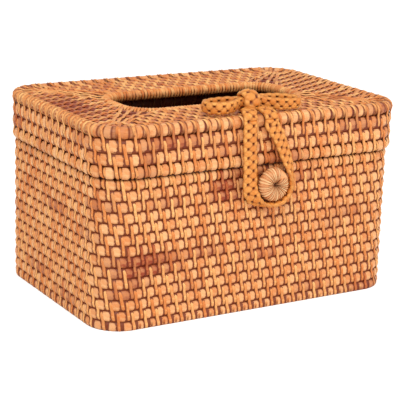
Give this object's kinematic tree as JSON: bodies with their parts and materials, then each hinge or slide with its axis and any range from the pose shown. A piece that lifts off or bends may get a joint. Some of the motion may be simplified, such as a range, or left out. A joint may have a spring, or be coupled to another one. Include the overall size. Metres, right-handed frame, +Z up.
{
  "type": "tissue box cover",
  "caption": "Rectangular coiled-rattan tissue box cover with a hinged lid, oval opening, braided bow and a loop that closes over a wrapped button.",
  "frame": {"origin": "middle of the ground face under the floor", "axes": "+Z up from the ground face, +X along the long front from left to right as seen from the front, +Y from the front with the button to the back with the hinge"},
  "size_m": [0.2252, 0.1592, 0.1403],
  "materials": {
    "core_cane": "satin",
    "peel": "satin",
    "dark_peel": "satin",
    "braid": "matte",
    "button_peel": "satin"
  },
  "bodies": {
    "box": {"wall_coil_1": "core_cane", "wall_coil_2": "core_cane", "wall_coil_3": "core_cane", "wall_coil_4": "core_cane", "wall_coil_5": "core_cane", "wall_coil_6": "core_cane", "wall_coil_7": "core_cane", "wall_coil_8": "core_cane", "wall_coil_9": "core_cane", "wall_coil_10": "core_cane", "wall_coil_11": "core_cane", "wall_coil_12": "core_cane", "wall_coil_13": "core_cane", "wall_coil_14": "core_cane", "floor_start_cane": "core_cane", "floor_coils": "core_cane", "wall_stitches": "peel", "floor_stitches": "peel", "button_ring": "core_cane", "button_wraps": "button_peel", "button_shank": "dark_peel", "button_peg": "core_cane"},
    "lid": {"lid_coil_1": "core_cane", "lid_coil_2": "core_cane", "lid_coil_3": "core_cane", "lid_edge_cane": "core_cane", "top_coil_1": "core_cane", "top_coil_2": "core_cane", "top_coil_3": "core_cane", "top_coil_4": "core_cane", "top_coil_5": "core_cane", "top_coil_6": "core_cane", "lid_side_stitches": "peel", "lid_top_stitches": "peel", "hinge_tie_left": "dark_peel", "hinge_tie_right": "dark_peel", "bow_knot": "braid", "bow_ear_left": "braid", "bow_ear_right": "braid", "bow_tie": "dark_peel", "bow_peg": "core_cane", "loop_roots": "braid"},
    "loop": {"closure_loop": "braid"}
  },
  "joints": [
    {"name": "lid_hinge", "type": "hinge", "parent": "box", "child": "lid", "pos_m": [0, 0.0701, 0.0919], "axis": [-1, 0, 0], "range_deg": [0, 105], "deforming": ["closure_loop"]},
    {"name": "loop_swing", "type": "hinge", "parent": "lid", "child": "loop", "pos_m": [0, -0.0781, 0.1239], "axis": [-1, 0, 0], "range_deg": [0, 150]}
  ]
}
